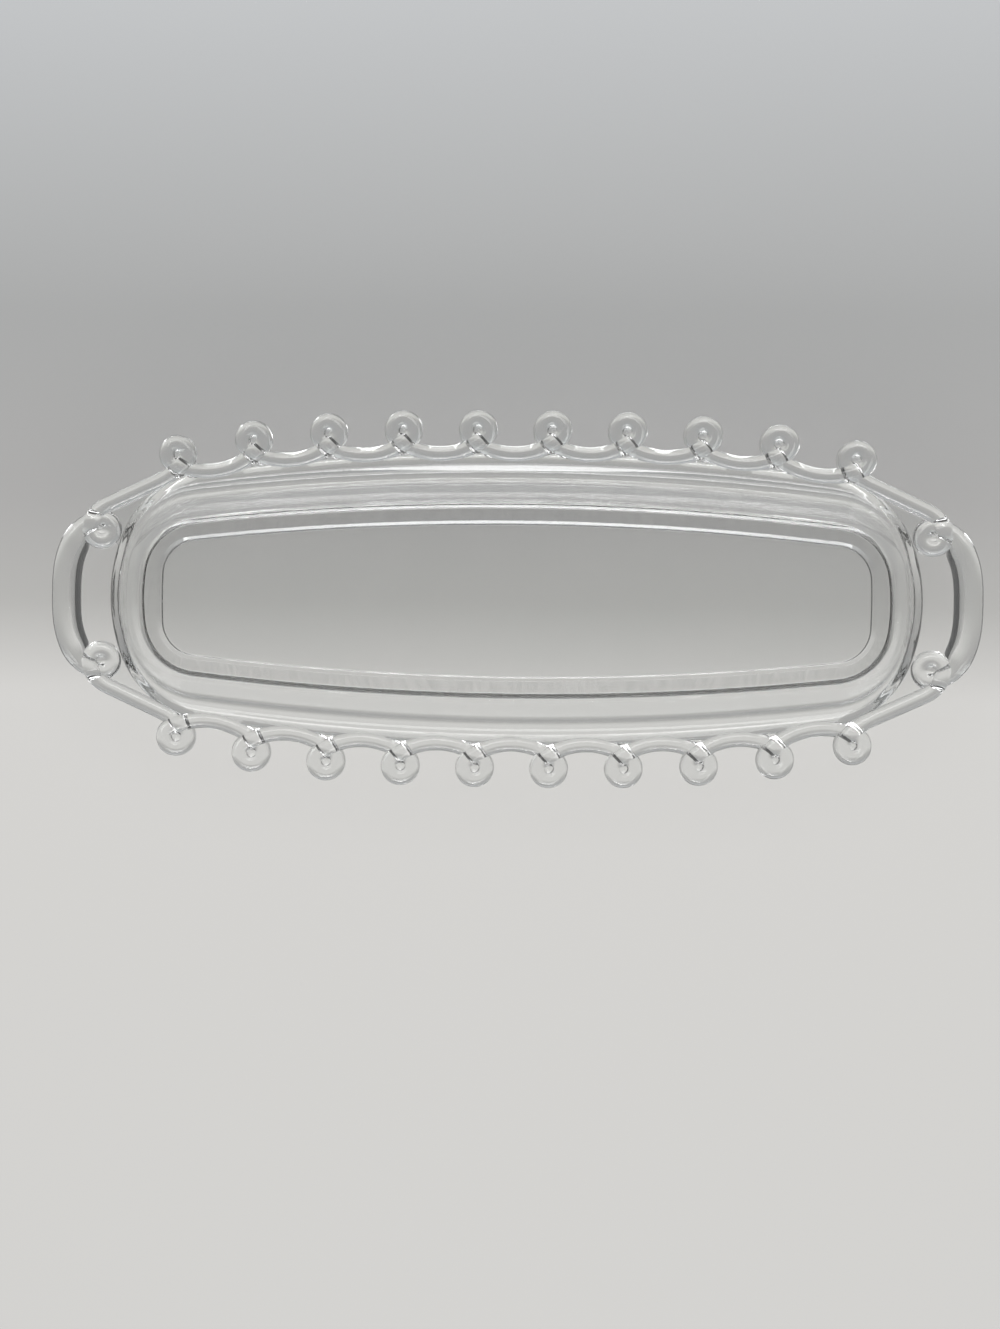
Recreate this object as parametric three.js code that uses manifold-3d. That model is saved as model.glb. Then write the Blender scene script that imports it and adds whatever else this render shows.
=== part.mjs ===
// A celery tray of clear pressed glass: an oblong dish edged with one glass rope, which is thrown
// into loops along both long sides and bows out into a handle at each end.
// Millimetres, +Z up. The origin is the middle of the face it stands on, with X along the tray.

import * as THREE from 'three';
import { mergeVertices } from 'three/addons/utils/BufferGeometryUtils.js';
import Module from 'manifold-3d';

const wasm = await Module();
wasm.setup();

// Overall size
const OVERALL_LENGTH = 330;
const OVERALL_WIDTH = 133.7;
const SEAM = 0.3; // clearance between neighbouring solids

// Rope edging
const ROPE_DIAMETER = 5.8;
const ROPE_HEIGHT = 23.4; // rope line above the table
const ROPE_SQUARENESS = 2.8; // exponent of the oval that the rope line follows

// Loops
const LOOPS_PER_SIDE = 10;
const LOOP_ROW = 0.734; // place of the outermost loop, as a share of the rope line's half length
const LOOP_RADIUS = 4.05; // centre line of one turn
const LOOP_SET_OUT = 2.65; // from the rope line to the nearest point of a turn's centre line
const CORNER_SET_IN = 2.15; // the same, for the corner loops inside the rope line
const CORNER_HALF_SPAN = 27.8; // from the tray's middle line to a corner loop's crossing
const STRAND_LIFT = 1.2; // upper strand above the rope line, lower strand below it
const JOIN_ANGLE = THREE.MathUtils.degToRad(52); // where a strand runs into its turn
const STRAND_BEND = 0.45; // share of a strand's reach at which it leaves the rope line
const LOOP_WEB = 2; // thickness of the glass that closes a loop

// Handles
const HANDLE_OUTER = 3.8; // from the rope line to the outer edge
const HANDLE_INNER = 5.5; // from the rope line to the inner face, at half height
const HANDLE_DRAFT = 0.3; // lean of the inner face, each way from half height
const HANDLE_THICKNESS = 6.6;
const HANDLE_FLATNESS = 0.2; // 1 is a round inner side, smaller is flatter
const HANDLE_TAPER = 0.3; // share of the bow over which each end swells to full size
const HANDLE_GAP = 11.5; // finger space between handle and dish

// Dish
const FLANGE_WIDTH = 2.1; // between rim and rope
const FLANGE_THICKNESS = 3;
const RIM_WIDTH = 3.5;
const RIM_ROUND = 0.8;
const WALL = 3.8; // measured level
const SIDE_RUN = 12.5; // how far a side wall leans in from rim to heel
const END_RUN = 1.6;
const FLOOR_THICKNESS = 3.2;
const LEDGE_STEP = 1; // the floor panel lies this far below its border
const HEEL_RISE = 3; // height of the bend between border and wall
const HEEL_INSET = 1.2;
const FOOT_WIDTH = 7.6;
const FOOT_HEIGHT = 1.6;
const FOOT_CHAMFER = 0.5;

// Arc radii of the three outlines, seen from above
const RIM_SIDE_ARC = 829;
const RIM_END_ARC = 57;
const RIM_CORNER_ARC = 32;
const HEEL_SIDE_ARC = 1050;
const HEEL_END_ARC = 75;
const HEEL_CORNER_ARC = 22;
const FLOOR_END_ARC = 225;
const FLOOR_CORNER_ARC = 13;

// Facets
const ROPE_SIDES = 8;
const TURN_STEPS = 12;
const STRAND_STEPS = 3;
const SPAN_STEPS = 3;
const EDGE_STEPS = 24;
const HANDLE_SIDES = 12;
const HANDLE_STEPS = 16;
const ARC_STEPS = { side: 5, corner: 7, end: 4 };

// Sizes that follow from the ones above
const ropeRadius = ROPE_DIAMETER / 2;
const turnOuter = LOOP_RADIUS + ropeRadius;
const turnOffset = LOOP_RADIUS + LOOP_SET_OUT;
const cornerOffset = LOOP_RADIUS + CORNER_SET_IN;
const ropeHalfLength = OVERALL_LENGTH / 2 - HANDLE_OUTER;
const ropeHalfWidth = OVERALL_WIDTH / 2 - turnOffset - turnOuter;
const rimTop = ROPE_HEIGHT + FLANGE_THICKNESS / 2;
const undersideZ = FOOT_HEIGHT + SEAM;
const panelZ = undersideZ + FLOOR_THICKNESS;
const ledgeZ = panelZ + LEDGE_STEP;

const glass = new THREE.MeshStandardMaterial({
  color: 0xe4e9e7,
  roughness: 0.04,
  metalness: 0,
  transparent: true,
  opacity: 0.35,
});

const tray = new THREE.Group();

function addPiece(name, geometry) {
  const mesh = new THREE.Mesh(geometry, glass);
  mesh.name = name;
  tray.add(mesh);
}

// Closed solids: joining, cutting and the way back to a geometry

function closedSkin(geometry) {
  const bare = geometry.clone();
  bare.deleteAttribute('normal');
  bare.deleteAttribute('uv');
  const merged = mergeVertices(bare);
  const corners = merged.index.array;
  const kept = [];
  for (let i = 0; i < corners.length; i += 3) {
    const [a, b, c] = corners.slice(i, i + 3);
    if (a !== b && b !== c && c !== a) kept.push(a, b, c);
  }
  merged.setIndex(kept);
  return merged;
}

function toSolid(geometry) {
  const skin = closedSkin(geometry);
  return new wasm.Manifold(new wasm.Mesh({
    numProp: 3,
    vertProperties: new Float32Array(skin.attributes.position.array),
    triVerts: new Uint32Array(skin.index.array),
  }));
}

function toGeometry(solid) {
  const mesh = solid.getMesh();
  const geometry = new THREE.BufferGeometry();
  geometry.setAttribute('position', new THREE.BufferAttribute(mesh.vertProperties, 3));
  geometry.setIndex(new THREE.BufferAttribute(mesh.triVerts, 1));
  geometry.computeVertexNormals();
  return geometry;
}

// A lathe skin whose rings are drawn out to other shapes: place(ring, spoke) gives each point.
// A ring that place() gathers in one point closes the skin there.
function drawnSkin(rings, spokes, place) {
  const profile = Array.from({ length: rings }, (_, j) => new THREE.Vector2(1, j));
  const lathe = new THREE.LatheGeometry(profile, spokes);
  const position = lathe.attributes.position;
  for (let i = 0; i <= spokes; i += 1) {
    for (let j = 0; j < rings; j += 1) {
      const p = place(j, i % spokes);
      position.setXYZ(i * rings + j, p.x, p.y, p.z);
    }
  }
  return closedSkin(lathe);
}

// The rope line, a superellipse at one height

const ovalPower = (share) => Math.abs(share) ** ROPE_SQUARENESS;
const ovalRoot = (power) => power ** (1 / ROPE_SQUARENESS);
const ovalY = (x) => ropeHalfWidth * ovalRoot(1 - ovalPower(x / ropeHalfLength));
const ovalX = (y) => ropeHalfLength * ovalRoot(1 - ovalPower(y / ropeHalfWidth));

// A point of the rope line, with its outward direction and the direction of travel round the tray.
function ropeStation(x, y) {
  const power = ROPE_SQUARENESS - 1;
  const outward = new THREE.Vector3(
    (Math.sign(x) * Math.abs(x) ** power) / ropeHalfLength ** ROPE_SQUARENESS,
    (Math.sign(y) * Math.abs(y) ** power) / ropeHalfWidth ** ROPE_SQUARENESS,
    0,
  ).normalize();
  return {
    point: new THREE.Vector3(x, y, ROPE_HEIGHT),
    outward,
    travel: new THREE.Vector3(-outward.y, outward.x, 0),
  };
}

const onSide = (x, side) => ropeStation(x, side * ovalY(x));
const onEnd = (y, end) => ropeStation(end * ovalX(y), y);

// The station a short step further along the rope line.
function ropeStep(station, step) {
  const { x, y } = station.point.clone().addScaledVector(station.travel, step);
  const size = ovalRoot(ovalPower(x / ropeHalfLength) + ovalPower(y / ropeHalfWidth));
  return ropeStation(x / size, y / size);
}

// Part of the rope line between two places on one long side.
class SideArc extends THREE.Curve {
  constructor(side, from, to) {
    super();
    Object.assign(this, { side, from, to });
  }

  getPoint(t, target = new THREE.Vector3()) {
    return target.copy(onSide(THREE.MathUtils.lerp(this.from, this.to, t), this.side).point);
  }
}

function ropeAlong(path, steps, radius = ropeRadius) {
  const section = new THREE.Shape().absarc(0, 0, radius, 0, 2 * Math.PI);
  return new THREE.ExtrudeGeometry(section, {
    extrudePath: path,
    steps,
    curveSegments: ROPE_SIDES / 2,
    bevelEnabled: false,
  });
}

// A loop stands at a crossing on the rope line, with its turn on the outer (+1) or inner (-1) side.
// Its two strands run along the rope line until the plain rope beyond them is clear of the turn.
function loopPlan(crossing, side, offset) {
  const centre = crossing.point.clone().addScaledVector(crossing.outward, side * offset);
  const nearSide = ({ point, outward }) => point.clone().addScaledVector(outward, side * ropeRadius);
  const strandEnd = (direction) => {
    let station = crossing;
    while (nearSide(station).distanceTo(centre) < turnOuter + 2 * SEAM) {
      station = ropeStep(station, direction * SEAM);
    }
    return station;
  };
  const ends = { [-1]: strandEnd(-1), 1: strandEnd(1) };
  const beyond = (direction) => ropeStep(ends[direction], direction * SEAM);
  return { crossing, side, centre, ends, beyond };
}

// A cubic curve passes at 4/9 of the height of its third point.
const CROSSING_PULL = 9 / 4;

// The loop's solid: a turn of rope closed by a web, and two strands of which the one that comes from
// upperEnd (-1 or +1 along the travel) crosses over the other.
function ropeLoop({ crossing, side, centre, ends }, upperEnd) {
  const turn = new THREE.TorusGeometry(LOOP_RADIUS, ropeRadius, ROPE_SIDES, TURN_STEPS);
  const web = new THREE.CylinderGeometry(LOOP_RADIUS, LOOP_RADIUS, LOOP_WEB, TURN_STEPS);
  web.rotateX(Math.PI / 2);
  let loop = toSolid(turn.translate(...centre)).add(toSolid(web.translate(...centre)));
  for (const direction of [-1, 1]) {
    const { point, travel } = ends[direction];
    const lift = direction === upperEnd ? STRAND_LIFT : -STRAND_LIFT;
    const lead = point.distanceTo(crossing.point) * (1 - STRAND_BEND);
    const join = centre
      .clone()
      .addScaledVector(crossing.outward, -side * LOOP_RADIUS * Math.cos(JOIN_ANGLE))
      .addScaledVector(crossing.travel, -direction * LOOP_RADIUS * Math.sin(JOIN_ANGLE));
    const strand = new THREE.CubicBezierCurve3(
      point,
      point.clone().addScaledVector(travel, -direction * lead),
      crossing.point.clone().setZ(ROPE_HEIGHT + CROSSING_PULL * lift),
      join,
    );
    loop = loop.add(toSolid(ropeAlong(strand, STRAND_STEPS)));
  }
  return toGeometry(loop);
}

const SIDES = { back: 1, front: -1 };
const ENDS = { left: -1, right: 1 };
const number = (k) => String(k + 1).padStart(2, '0');

// Side loops from left to right, the spans between them, and the corner loops with the rods that
// lead to them from the last loop of each row

const loopX = Array.from(
  { length: LOOPS_PER_SIDE },
  (_, k) => LOOP_ROW * ropeHalfLength * ((2 * k) / (LOOPS_PER_SIDE - 1) - 1),
);
const cornerX = ovalX(CORNER_HALF_SPAN);
const cornerPlan = (side, end) => loopPlan(
  ropeStation(end * cornerX, side * CORNER_HALF_SPAN),
  -1,
  cornerOffset,
);

for (const [sideName, side] of Object.entries(SIDES)) {
  // The rope travels leftwards along the back and rightwards along the front.
  const toRight = -side;
  const plans = loopX.map((x) => loopPlan(onSide(x, side), 1, turnOffset));
  const ropeBetween = (left, right) => {
    const path = new SideArc(side, left.beyond(toRight).point.x, right.beyond(-toRight).point.x);
    return ropeAlong(path, SPAN_STEPS);
  };

  plans.forEach((plan, k) => {
    addPiece(`loop_${sideName}_${number(k)}`, ropeLoop(plan, 1));
    if (k > 0) addPiece(`rope_${sideName}_${number(k - 1)}`, ropeBetween(plans[k - 1], plan));
  });

  const leftCorner = cornerPlan(side, ENDS.left);
  const rightCorner = cornerPlan(side, ENDS.right);
  addPiece(`corner_loop_${sideName}_left`, ropeLoop(leftCorner, toRight));
  addPiece(`corner_loop_${sideName}_right`, ropeLoop(rightCorner, -toRight));
  addPiece(`corner_rod_${sideName}_left`, ropeBetween(leftCorner, plans[0]));
  addPiece(`corner_rod_${sideName}_right`, ropeBetween(plans.at(-1), rightCorner));
}

// Handles: the rope swells into a bow with a flat, leaning inner face

function handleSection(angle, swell) {
  const across = Math.cos(angle);
  const up = Math.sin(angle);
  const flat = Math.abs(across) ** HANDLE_FLATNESS;
  const full = across > 0 ? HANDLE_OUTER * across : flat * (HANDLE_DRAFT * up - HANDLE_INNER);
  return {
    out: THREE.MathUtils.lerp(ropeRadius * across, full, swell),
    up: THREE.MathUtils.lerp(ropeRadius, HANDLE_THICKNESS / 2, swell) * up,
  };
}

function handle(end) {
  const reach = cornerPlan(1, end).beyond(-end).point.y;
  const rings = HANDLE_STEPS + 3;
  return drawnSkin(rings, HANDLE_SIDES, (ring, spoke) => {
    const share = THREE.MathUtils.clamp((ring - 1) / HANDLE_STEPS, 0, 1);
    const station = onEnd(end * THREE.MathUtils.lerp(reach, -reach, share), end);
    if (ring === 0 || ring === rings - 1) return station.point;
    const swell = THREE.MathUtils.smoothstep(Math.min(share, 1 - share), 0, HANDLE_TAPER);
    const section = handleSection((spoke / HANDLE_SIDES) * 2 * Math.PI, swell);
    return station.point.addScaledVector(station.outward, section.out).setZ(ROPE_HEIGHT + section.up);
  });
}

for (const [endName, end] of Object.entries(ENDS)) addPiece(`handle_${endName}`, handle(end));

// Outlines of the dish: on each quarter a long side arc, a corner arc and an end arc

const rim = {
  halfLength: ropeHalfLength - HANDLE_INNER - HANDLE_DRAFT - HANDLE_GAP - RIM_WIDTH,
  halfWidth: ropeHalfWidth - ropeRadius - FLANGE_WIDTH,
  sideArc: RIM_SIDE_ARC,
  endArc: RIM_END_ARC,
  cornerArc: RIM_CORNER_ARC,
};
const heel = {
  halfLength: rim.halfLength - END_RUN,
  halfWidth: rim.halfWidth - SIDE_RUN,
  sideArc: HEEL_SIDE_ARC,
  endArc: HEEL_END_ARC,
  cornerArc: HEEL_CORNER_ARC,
};
const floor = {
  halfLength: heel.halfLength - FOOT_WIDTH,
  halfWidth: heel.halfWidth - FOOT_WIDTH,
  sideArc: HEEL_SIDE_ARC - FOOT_WIDTH,
  endArc: FLOOR_END_ARC,
  cornerArc: FLOOR_CORNER_ARC,
};

const mixed = (a, b, share) => Object.fromEntries(
  Object.keys(a).map((key) => [key, THREE.MathUtils.lerp(a[key], b[key], share)]),
);
const grown = (outline, by) => Object.fromEntries(
  Object.entries(outline).map(([key, size]) => [key, size + by]),
);

// Points of a circular arc about a centre, its last point left to the next arc.
function arcPoints(centre, radius, from, to, steps) {
  return Array.from({ length: steps }, (_, k) => {
    const angle = THREE.MathUtils.lerp(from, to, k / steps);
    return new THREE.Vector2(Math.cos(angle), Math.sin(angle)).multiplyScalar(radius).add(centre);
  });
}

// The outline's points counter-clockwise from the middle of the right-hand end.
function outlinePoints({ halfLength, halfWidth, sideArc, endArc, cornerArc }) {
  const endCentre = new THREE.Vector2(halfLength - endArc, 0);
  const sideCentre = new THREE.Vector2(0, halfWidth - sideArc);
  const apart = sideCentre.distanceTo(endCentre);
  const toEnd = sideCentre.clone().negate().add(endCentre).angle();
  const nearSide = sideArc - cornerArc;
  const nearEnd = endArc - cornerArc;
  const swing = Math.acos((nearSide ** 2 + apart ** 2 - nearEnd ** 2) / (2 * nearSide * apart));
  const sideAngle = toEnd - swing;
  const cornerCentre = new THREE.Vector2(Math.cos(sideAngle), Math.sin(sideAngle))
    .multiplyScalar(nearSide)
    .add(sideCentre);
  const endAngle = cornerCentre.clone().sub(endCentre).angle();
  const quarter = [
    ...arcPoints(endCentre, endArc, 0, endAngle, ARC_STEPS.end),
    ...arcPoints(cornerCentre, cornerArc, endAngle, sideAngle, ARC_STEPS.corner),
    ...arcPoints(sideCentre, sideArc, sideAngle, Math.PI / 2, ARC_STEPS.side),
    new THREE.Vector2(0, halfWidth),
  ];
  const half = [...quarter, ...quarter.slice(0, -1).reverse().map((p) => new THREE.Vector2(-p.x, p.y))];
  return [...half, ...half.slice(1, -1).reverse().map((p) => new THREE.Vector2(p.x, -p.y))];
}

function level(outline, z) {
  return outlinePoints(outline).map((p) => new THREE.Vector3(p.x, p.y, z));
}

function outlineSkin(levels) {
  return drawnSkin(levels.length, levels[0].length, (ring, spoke) => levels[ring][spoke].clone());
}

// Dish: floor panel, its border, wall and rim, down the outside to the underside

const middle = (z) => level(floor, z).map((p) => p.set(0, 0, z));
const wallAt = (share) => mixed(heel, rim, share);
const wallZ = (share) => THREE.MathUtils.lerp(ledgeZ + HEEL_RISE, rimTop - RIM_ROUND, share);

const basin = outlineSkin([
  middle(undersideZ),
  level(heel, undersideZ),
  level(grown(wallAt(0), WALL), wallZ(0)),
  level(grown(wallAt(0.5), WALL), wallZ(0.5)),
  level(grown(rim, RIM_WIDTH), rimTop - FLANGE_THICKNESS),
  level(grown(rim, RIM_WIDTH), rimTop - RIM_ROUND),
  level(grown(rim, RIM_WIDTH - RIM_ROUND), rimTop),
  level(grown(rim, RIM_ROUND), rimTop),
  level(rim, rimTop - RIM_ROUND),
  level(wallAt(0.5), wallZ(0.5)),
  level(wallAt(0), wallZ(0)),
  level(grown(heel, -HEEL_INSET), ledgeZ),
  level(grown(floor, LEDGE_STEP), ledgeZ),
  level(floor, panelZ),
  middle(panelZ),
]);

// Flange along one side: from inside the rim out to the rope line, between the two corner loops.
function flange(side) {
  const outer = [];
  for (let k = 0; k <= EDGE_STEPS; k += 1) {
    const { point } = onSide(THREE.MathUtils.lerp(cornerX, -cornerX, k / EDGE_STEPS), side);
    outer.push(new THREE.Vector2(point.x, point.y));
  }
  const lowest = CORNER_HALF_SPAN - cornerOffset;
  const inner = outlinePoints(grown(rim, RIM_WIDTH / 2)).filter((p) => side * p.y > lowest);
  inner.sort((p, q) => p.x - q.x);
  const plate = new THREE.ExtrudeGeometry(new THREE.Shape([...outer, ...inner]), {
    depth: FLANGE_THICKNESS,
    bevelEnabled: false,
  });
  plate.translate(0, 0, rimTop - FLANGE_THICKNESS);
  return plate;
}

// The rope and the corner loops stay clear of the dish by one seam.
const clearOfFacets = (radius, sides) => (radius + SEAM) / Math.cos(Math.PI / sides);
let dish = toSolid(basin);

for (const side of Object.values(SIDES)) {
  dish = dish.add(toSolid(flange(side)));
}

for (const side of Object.values(SIDES)) {
  const edge = new SideArc(side, -cornerX, cornerX);
  const channel = ropeAlong(edge, EDGE_STEPS, clearOfFacets(ropeRadius, ROPE_SIDES));
  dish = dish.subtract(toSolid(channel));
  for (const end of Object.values(ENDS)) {
    const radius = clearOfFacets(turnOuter, TURN_STEPS);
    const bite = new THREE.CylinderGeometry(radius, radius, 2 * ROPE_HEIGHT, TURN_STEPS);
    bite.rotateX(Math.PI / 2);
    bite.translate(...cornerPlan(side, end).centre);
    dish = dish.subtract(toSolid(bite));
  }
}

addPiece('dish', toGeometry(dish));

// Foot ring: a low band under the border of the floor

addPiece('foot_ring', outlineSkin([
  level(grown(heel, -FOOT_CHAMFER), 0),
  level(heel, FOOT_CHAMFER),
  level(heel, FOOT_HEIGHT),
  level(floor, FOOT_HEIGHT),
  level(floor, FOOT_CHAMFER),
  level(grown(floor, FOOT_CHAMFER), 0),
  level(grown(heel, -FOOT_CHAMFER), 0),
]));

export default tray;
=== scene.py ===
# %% [markdown]
# # A celery tray of clear pressed glass
# The real tray is one pressing: an oblong dish whose edge is a single glass rope, thrown into
# small loops along both long sides and bowed out into a handle at each end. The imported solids
# are the frame for it, and this lesson draws the glass as numpy surfaces in that same frame.

import bmesh
import bpy
import numpy as np
from mathutils import Matrix


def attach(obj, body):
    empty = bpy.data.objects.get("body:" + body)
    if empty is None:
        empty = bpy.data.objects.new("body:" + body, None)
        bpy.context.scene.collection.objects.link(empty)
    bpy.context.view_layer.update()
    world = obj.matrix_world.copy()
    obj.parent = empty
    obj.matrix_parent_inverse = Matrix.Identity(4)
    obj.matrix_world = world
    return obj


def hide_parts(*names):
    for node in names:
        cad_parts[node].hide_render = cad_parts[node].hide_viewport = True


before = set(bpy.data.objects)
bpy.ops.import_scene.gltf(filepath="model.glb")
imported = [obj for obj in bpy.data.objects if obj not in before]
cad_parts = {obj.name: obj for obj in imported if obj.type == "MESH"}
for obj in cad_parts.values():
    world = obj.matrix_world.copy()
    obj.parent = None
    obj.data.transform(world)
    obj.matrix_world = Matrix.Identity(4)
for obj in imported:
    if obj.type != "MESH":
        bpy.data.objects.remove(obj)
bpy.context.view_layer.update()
MM = 0.001  # the sizes of the glass below are millimetres, the meshes are metres


def in_mm(lengths):
    """Lengths in metres as millimetres, rounded for printing."""
    return [round(length / MM, 1) for length in lengths]


# %% [markdown]
# ## The camera
# The picture was taken with the tray square on, from about half a metre. A camera can be aimed with
# a place and a target, but that leaves its roll open. So it is given as a turn and a shift: a point
# of the tray, turned and shifted, is that point as the camera sees it. Blender wants the opposite,
# where the camera stands in the world, so the matrix is inverted.

# %% Camera
IMAGE_HEIGHT_PX = 1329
FOCAL_PX = 1400
SENSOR_MM = 36
TURN_X, TURN_Y, TURN_Z = np.radians([0.94, -1.59, -0.70])
SHIFT = (5.43, 23.44, -519.66)
NEAREST_SEEN = 10


def new_object(name, data):
    """An object that shows a mesh, a lamp or a camera, put into the scene at the origin."""
    made = bpy.data.objects.new(name, data)
    bpy.context.scene.collection.objects.link(made)
    return made


turn = (
    Matrix.Rotation(TURN_Z, 4, "Z")
    @ Matrix.Rotation(TURN_Y, 4, "Y")
    @ Matrix.Rotation(TURN_X, 4, "X")
)
shift = Matrix.Translation([length * MM for length in SHIFT])
camera = new_object("camera", bpy.data.cameras.new("camera"))
camera.matrix_world = (shift @ turn).inverted()
camera.data.sensor_fit = "VERTICAL"
camera.data.sensor_height = SENSOR_MM
camera.data.lens = FOCAL_PX * SENSOR_MM / IMAGE_HEIGHT_PX
camera.data.clip_start = NEAREST_SEEN * MM
bpy.context.scene.camera = camera
print("camera at", in_mm(camera.matrix_world.translation), "mm, lens", round(camera.data.lens, 1))

# %% [markdown]
# ## From grids to meshes
# Glass has no boards or rods to start from, it is all curved skin. It could be pulled into shape
# from blocks, but here every surface is a grid of points, rows by columns, that a formula puts in
# place. Its faces are the grid's little squares, so one function can number them all at once, with
# no loop over points. A grid that runs round closes on itself by taking its first row or column again.

# %% Grid faces and new pieces
WELD_DISTANCE = 0.01


def grid_faces(rows, columns, round_rows=False, round_columns=False):
    """Corner numbers of every square of a grid whose point (i, j) has number i * columns + j."""
    i = np.arange(rows if round_rows else rows - 1)[:, None]
    j = np.arange(columns if round_columns else columns - 1)[None, :]
    below, beside = (i + 1) % rows, (j + 1) % columns
    corners = [i * columns + j, i * columns + beside, below * columns + beside, below * columns + j]
    return np.stack(np.broadcast_arrays(*corners), axis=-1).reshape(-1, 4)


def merge_doubles(piece):
    """Unused points go, points closer than the weld distance become one, and faces turn outwards."""
    work = bmesh.new()
    work.from_mesh(piece.data)
    unused = [vertex for vertex in work.verts if not vertex.link_faces]
    bmesh.ops.delete(work, geom=unused, context="VERTS")
    bmesh.ops.remove_doubles(work, verts=work.verts, dist=WELD_DISTANCE * MM)
    bmesh.ops.recalc_face_normals(work, faces=work.faces)
    work.to_mesh(piece.data)
    work.free()


def new_piece(name, points, faces):
    """A piece from points in millimetres and faces, without unused points and doubles."""
    mesh = bpy.data.meshes.new(name)
    mesh.from_pydata(np.asarray(points).reshape(-1, 3) * MM, [], faces)
    piece = new_object(name, mesh)
    merge_doubles(piece)
    return piece


def open_edges(piece):
    """How many edges don't have exactly two faces: none on closed glass."""
    work = bmesh.new()
    work.from_mesh(piece.data)
    count = sum(not edge.is_manifold for edge in work.edges)
    work.free()
    return count


print("a grid of 3 rows and 4 columns has", len(grid_faces(3, 4)), "faces")

# %% [markdown]
# ## The line of the rope
# Seen from above, the rope follows an oval between an ellipse and a rectangle. A chain of arcs could
# follow it too, but a superellipse does that with one exponent: |x/a|^n + |y/b|^n = 1. The line is
# measured once by its length, and every later place on it is given as millimetres of rope.

# %% Rope line by length
ROPE_HALF_LENGTH, ROPE_HALF_WIDTH, ROPE_HEIGHT = 161.2, 53.2, 23.4
SQUARENESS = 2.8
OVAL_STEPS = 40000

oval_angle = np.linspace(0, 2 * np.pi, OVAL_STEPS + 1)
cosine, sine = np.cos(oval_angle), np.sin(oval_angle)
oval_x = ROPE_HALF_LENGTH * np.sign(cosine) * np.abs(cosine) ** (2 / SQUARENESS)
oval_y = ROPE_HALF_WIDTH * np.sign(sine) * np.abs(sine) ** (2 / SQUARENESS)
oval_length = np.concatenate([[0], np.cumsum(np.hypot(np.diff(oval_x), np.diff(oval_y)))])


def length_at(x, y):
    """Length along the oval, counter-clockwise from the right-hand end, of a point on it.
    Its angle has the cosine (x/a)^(n/2) and the sine (y/b)^(n/2), and the table gives the length."""
    power = SQUARENESS / 2
    across = np.sign(y) * np.abs(y / ROPE_HALF_WIDTH) ** power
    along = np.sign(x) * np.abs(x / ROPE_HALF_LENGTH) ** power
    return np.interp(np.arctan2(across, along) % (2 * np.pi), oval_angle, oval_length)


def rope_line(length):
    """Points, directions of travel and outward directions on the oval, at these lengths.
    The outward direction is the slope of |x/a|^n + |y/b|^n, and travel is square to it."""
    length = np.asarray(length) % oval_length[-1]
    x = np.interp(length, oval_length, oval_x)
    y = np.interp(length, oval_length, oval_y)
    slope_x = np.sign(x) * np.abs(x) ** (SQUARENESS - 1) / ROPE_HALF_LENGTH**SQUARENESS
    slope_y = np.sign(y) * np.abs(y) ** (SQUARENESS - 1) / ROPE_HALF_WIDTH**SQUARENESS
    outward = np.stack([slope_x, slope_y], -1) / np.hypot(slope_x, slope_y)[..., None]
    travel = np.stack([-outward[..., 1], outward[..., 0]], -1)
    return np.stack([x, y], -1), travel, outward


print("rope line:", round(oval_length[-1]), "mm round the tray")

# %% [markdown]
# ## Where the loops stand
# Ten loops on each long side turn on the outside of the line, and one at each corner turns on the
# inside. Along a side the rope that arrives passes under; at a corner the handle's end passes under.
# One loop could be modelled and copied, but each stands at its own slant between its own neighbours.
# So everything about them is kept in arrays of 24, in the order in which the rope meets them.

# %% Loop places
LOOPS_PER_SIDE = 10
ROW_SHARE = 0.734  # the rows of side loops end at this share of the half length
CORNER_Y = 27.8  # the corner loops cross the line this far from the long axis
SIDE_OFFSET, CORNER_OFFSET = 6.7, 6.2  # from the rope line to the middle of a turn

outermost_x = ROW_SHARE * ROPE_HALF_LENGTH
row_x = np.linspace(outermost_x, -outermost_x, LOOPS_PER_SIDE)
row_y = ROPE_HALF_WIDTH * (1 - np.abs(row_x / ROPE_HALF_LENGTH) ** SQUARENESS) ** (1 / SQUARENESS)
corner_x = ROPE_HALF_LENGTH * (1 - (CORNER_Y / ROPE_HALF_WIDTH) ** SQUARENESS) ** (1 / SQUARENESS)
half_x = np.concatenate([[corner_x], row_x, [-corner_x]])
half_y = np.concatenate([[CORNER_Y], row_y, [CORNER_Y]])

crossing_length = length_at(np.concatenate([half_x, -half_x]), np.concatenate([half_y, -half_y]))
LOOPS = len(crossing_length)
loop_number = np.arange(LOOPS)
at_corner = np.tile(half_y == CORNER_Y, 2)
is_handle = loop_number % len(half_x) == len(half_x) - 1  # spans, counted by the loop before them
turn_side = np.where(at_corner, -1, 1)
turn_offset = np.where(at_corner, CORNER_OFFSET, SIDE_OFFSET)
arriving_lift = np.where(is_handle, 1, -1)
print("loops:", LOOPS, "of which", at_corner.sum(), "at the corners")

# %% [markdown]
# ## One loop of rope
# A loop is three curves end to end: a strand that leaves the line, most of a circle, and a strand
# that comes back. One spline through points set by eye could do it, but a cubic Bezier curve starts
# and ends in given directions, which is what a strand needs. The rope passes over itself, so one
# strand climbs while the other sinks, and the height changes over in the circle. Between side loops
# the rope hangs in a shallow parabola a little inside its line, like a garland. The rods at the
# corners run straight, and only the handles keep to the line.

# %% Where strands and spans meet
STRAND_REACH = 8.6  # rope taken up on each side of the crossing
SPAN_INSET, ROD_INSET = 1.6, 0.5  # how far inside the line the ends of spans and rods lie

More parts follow.
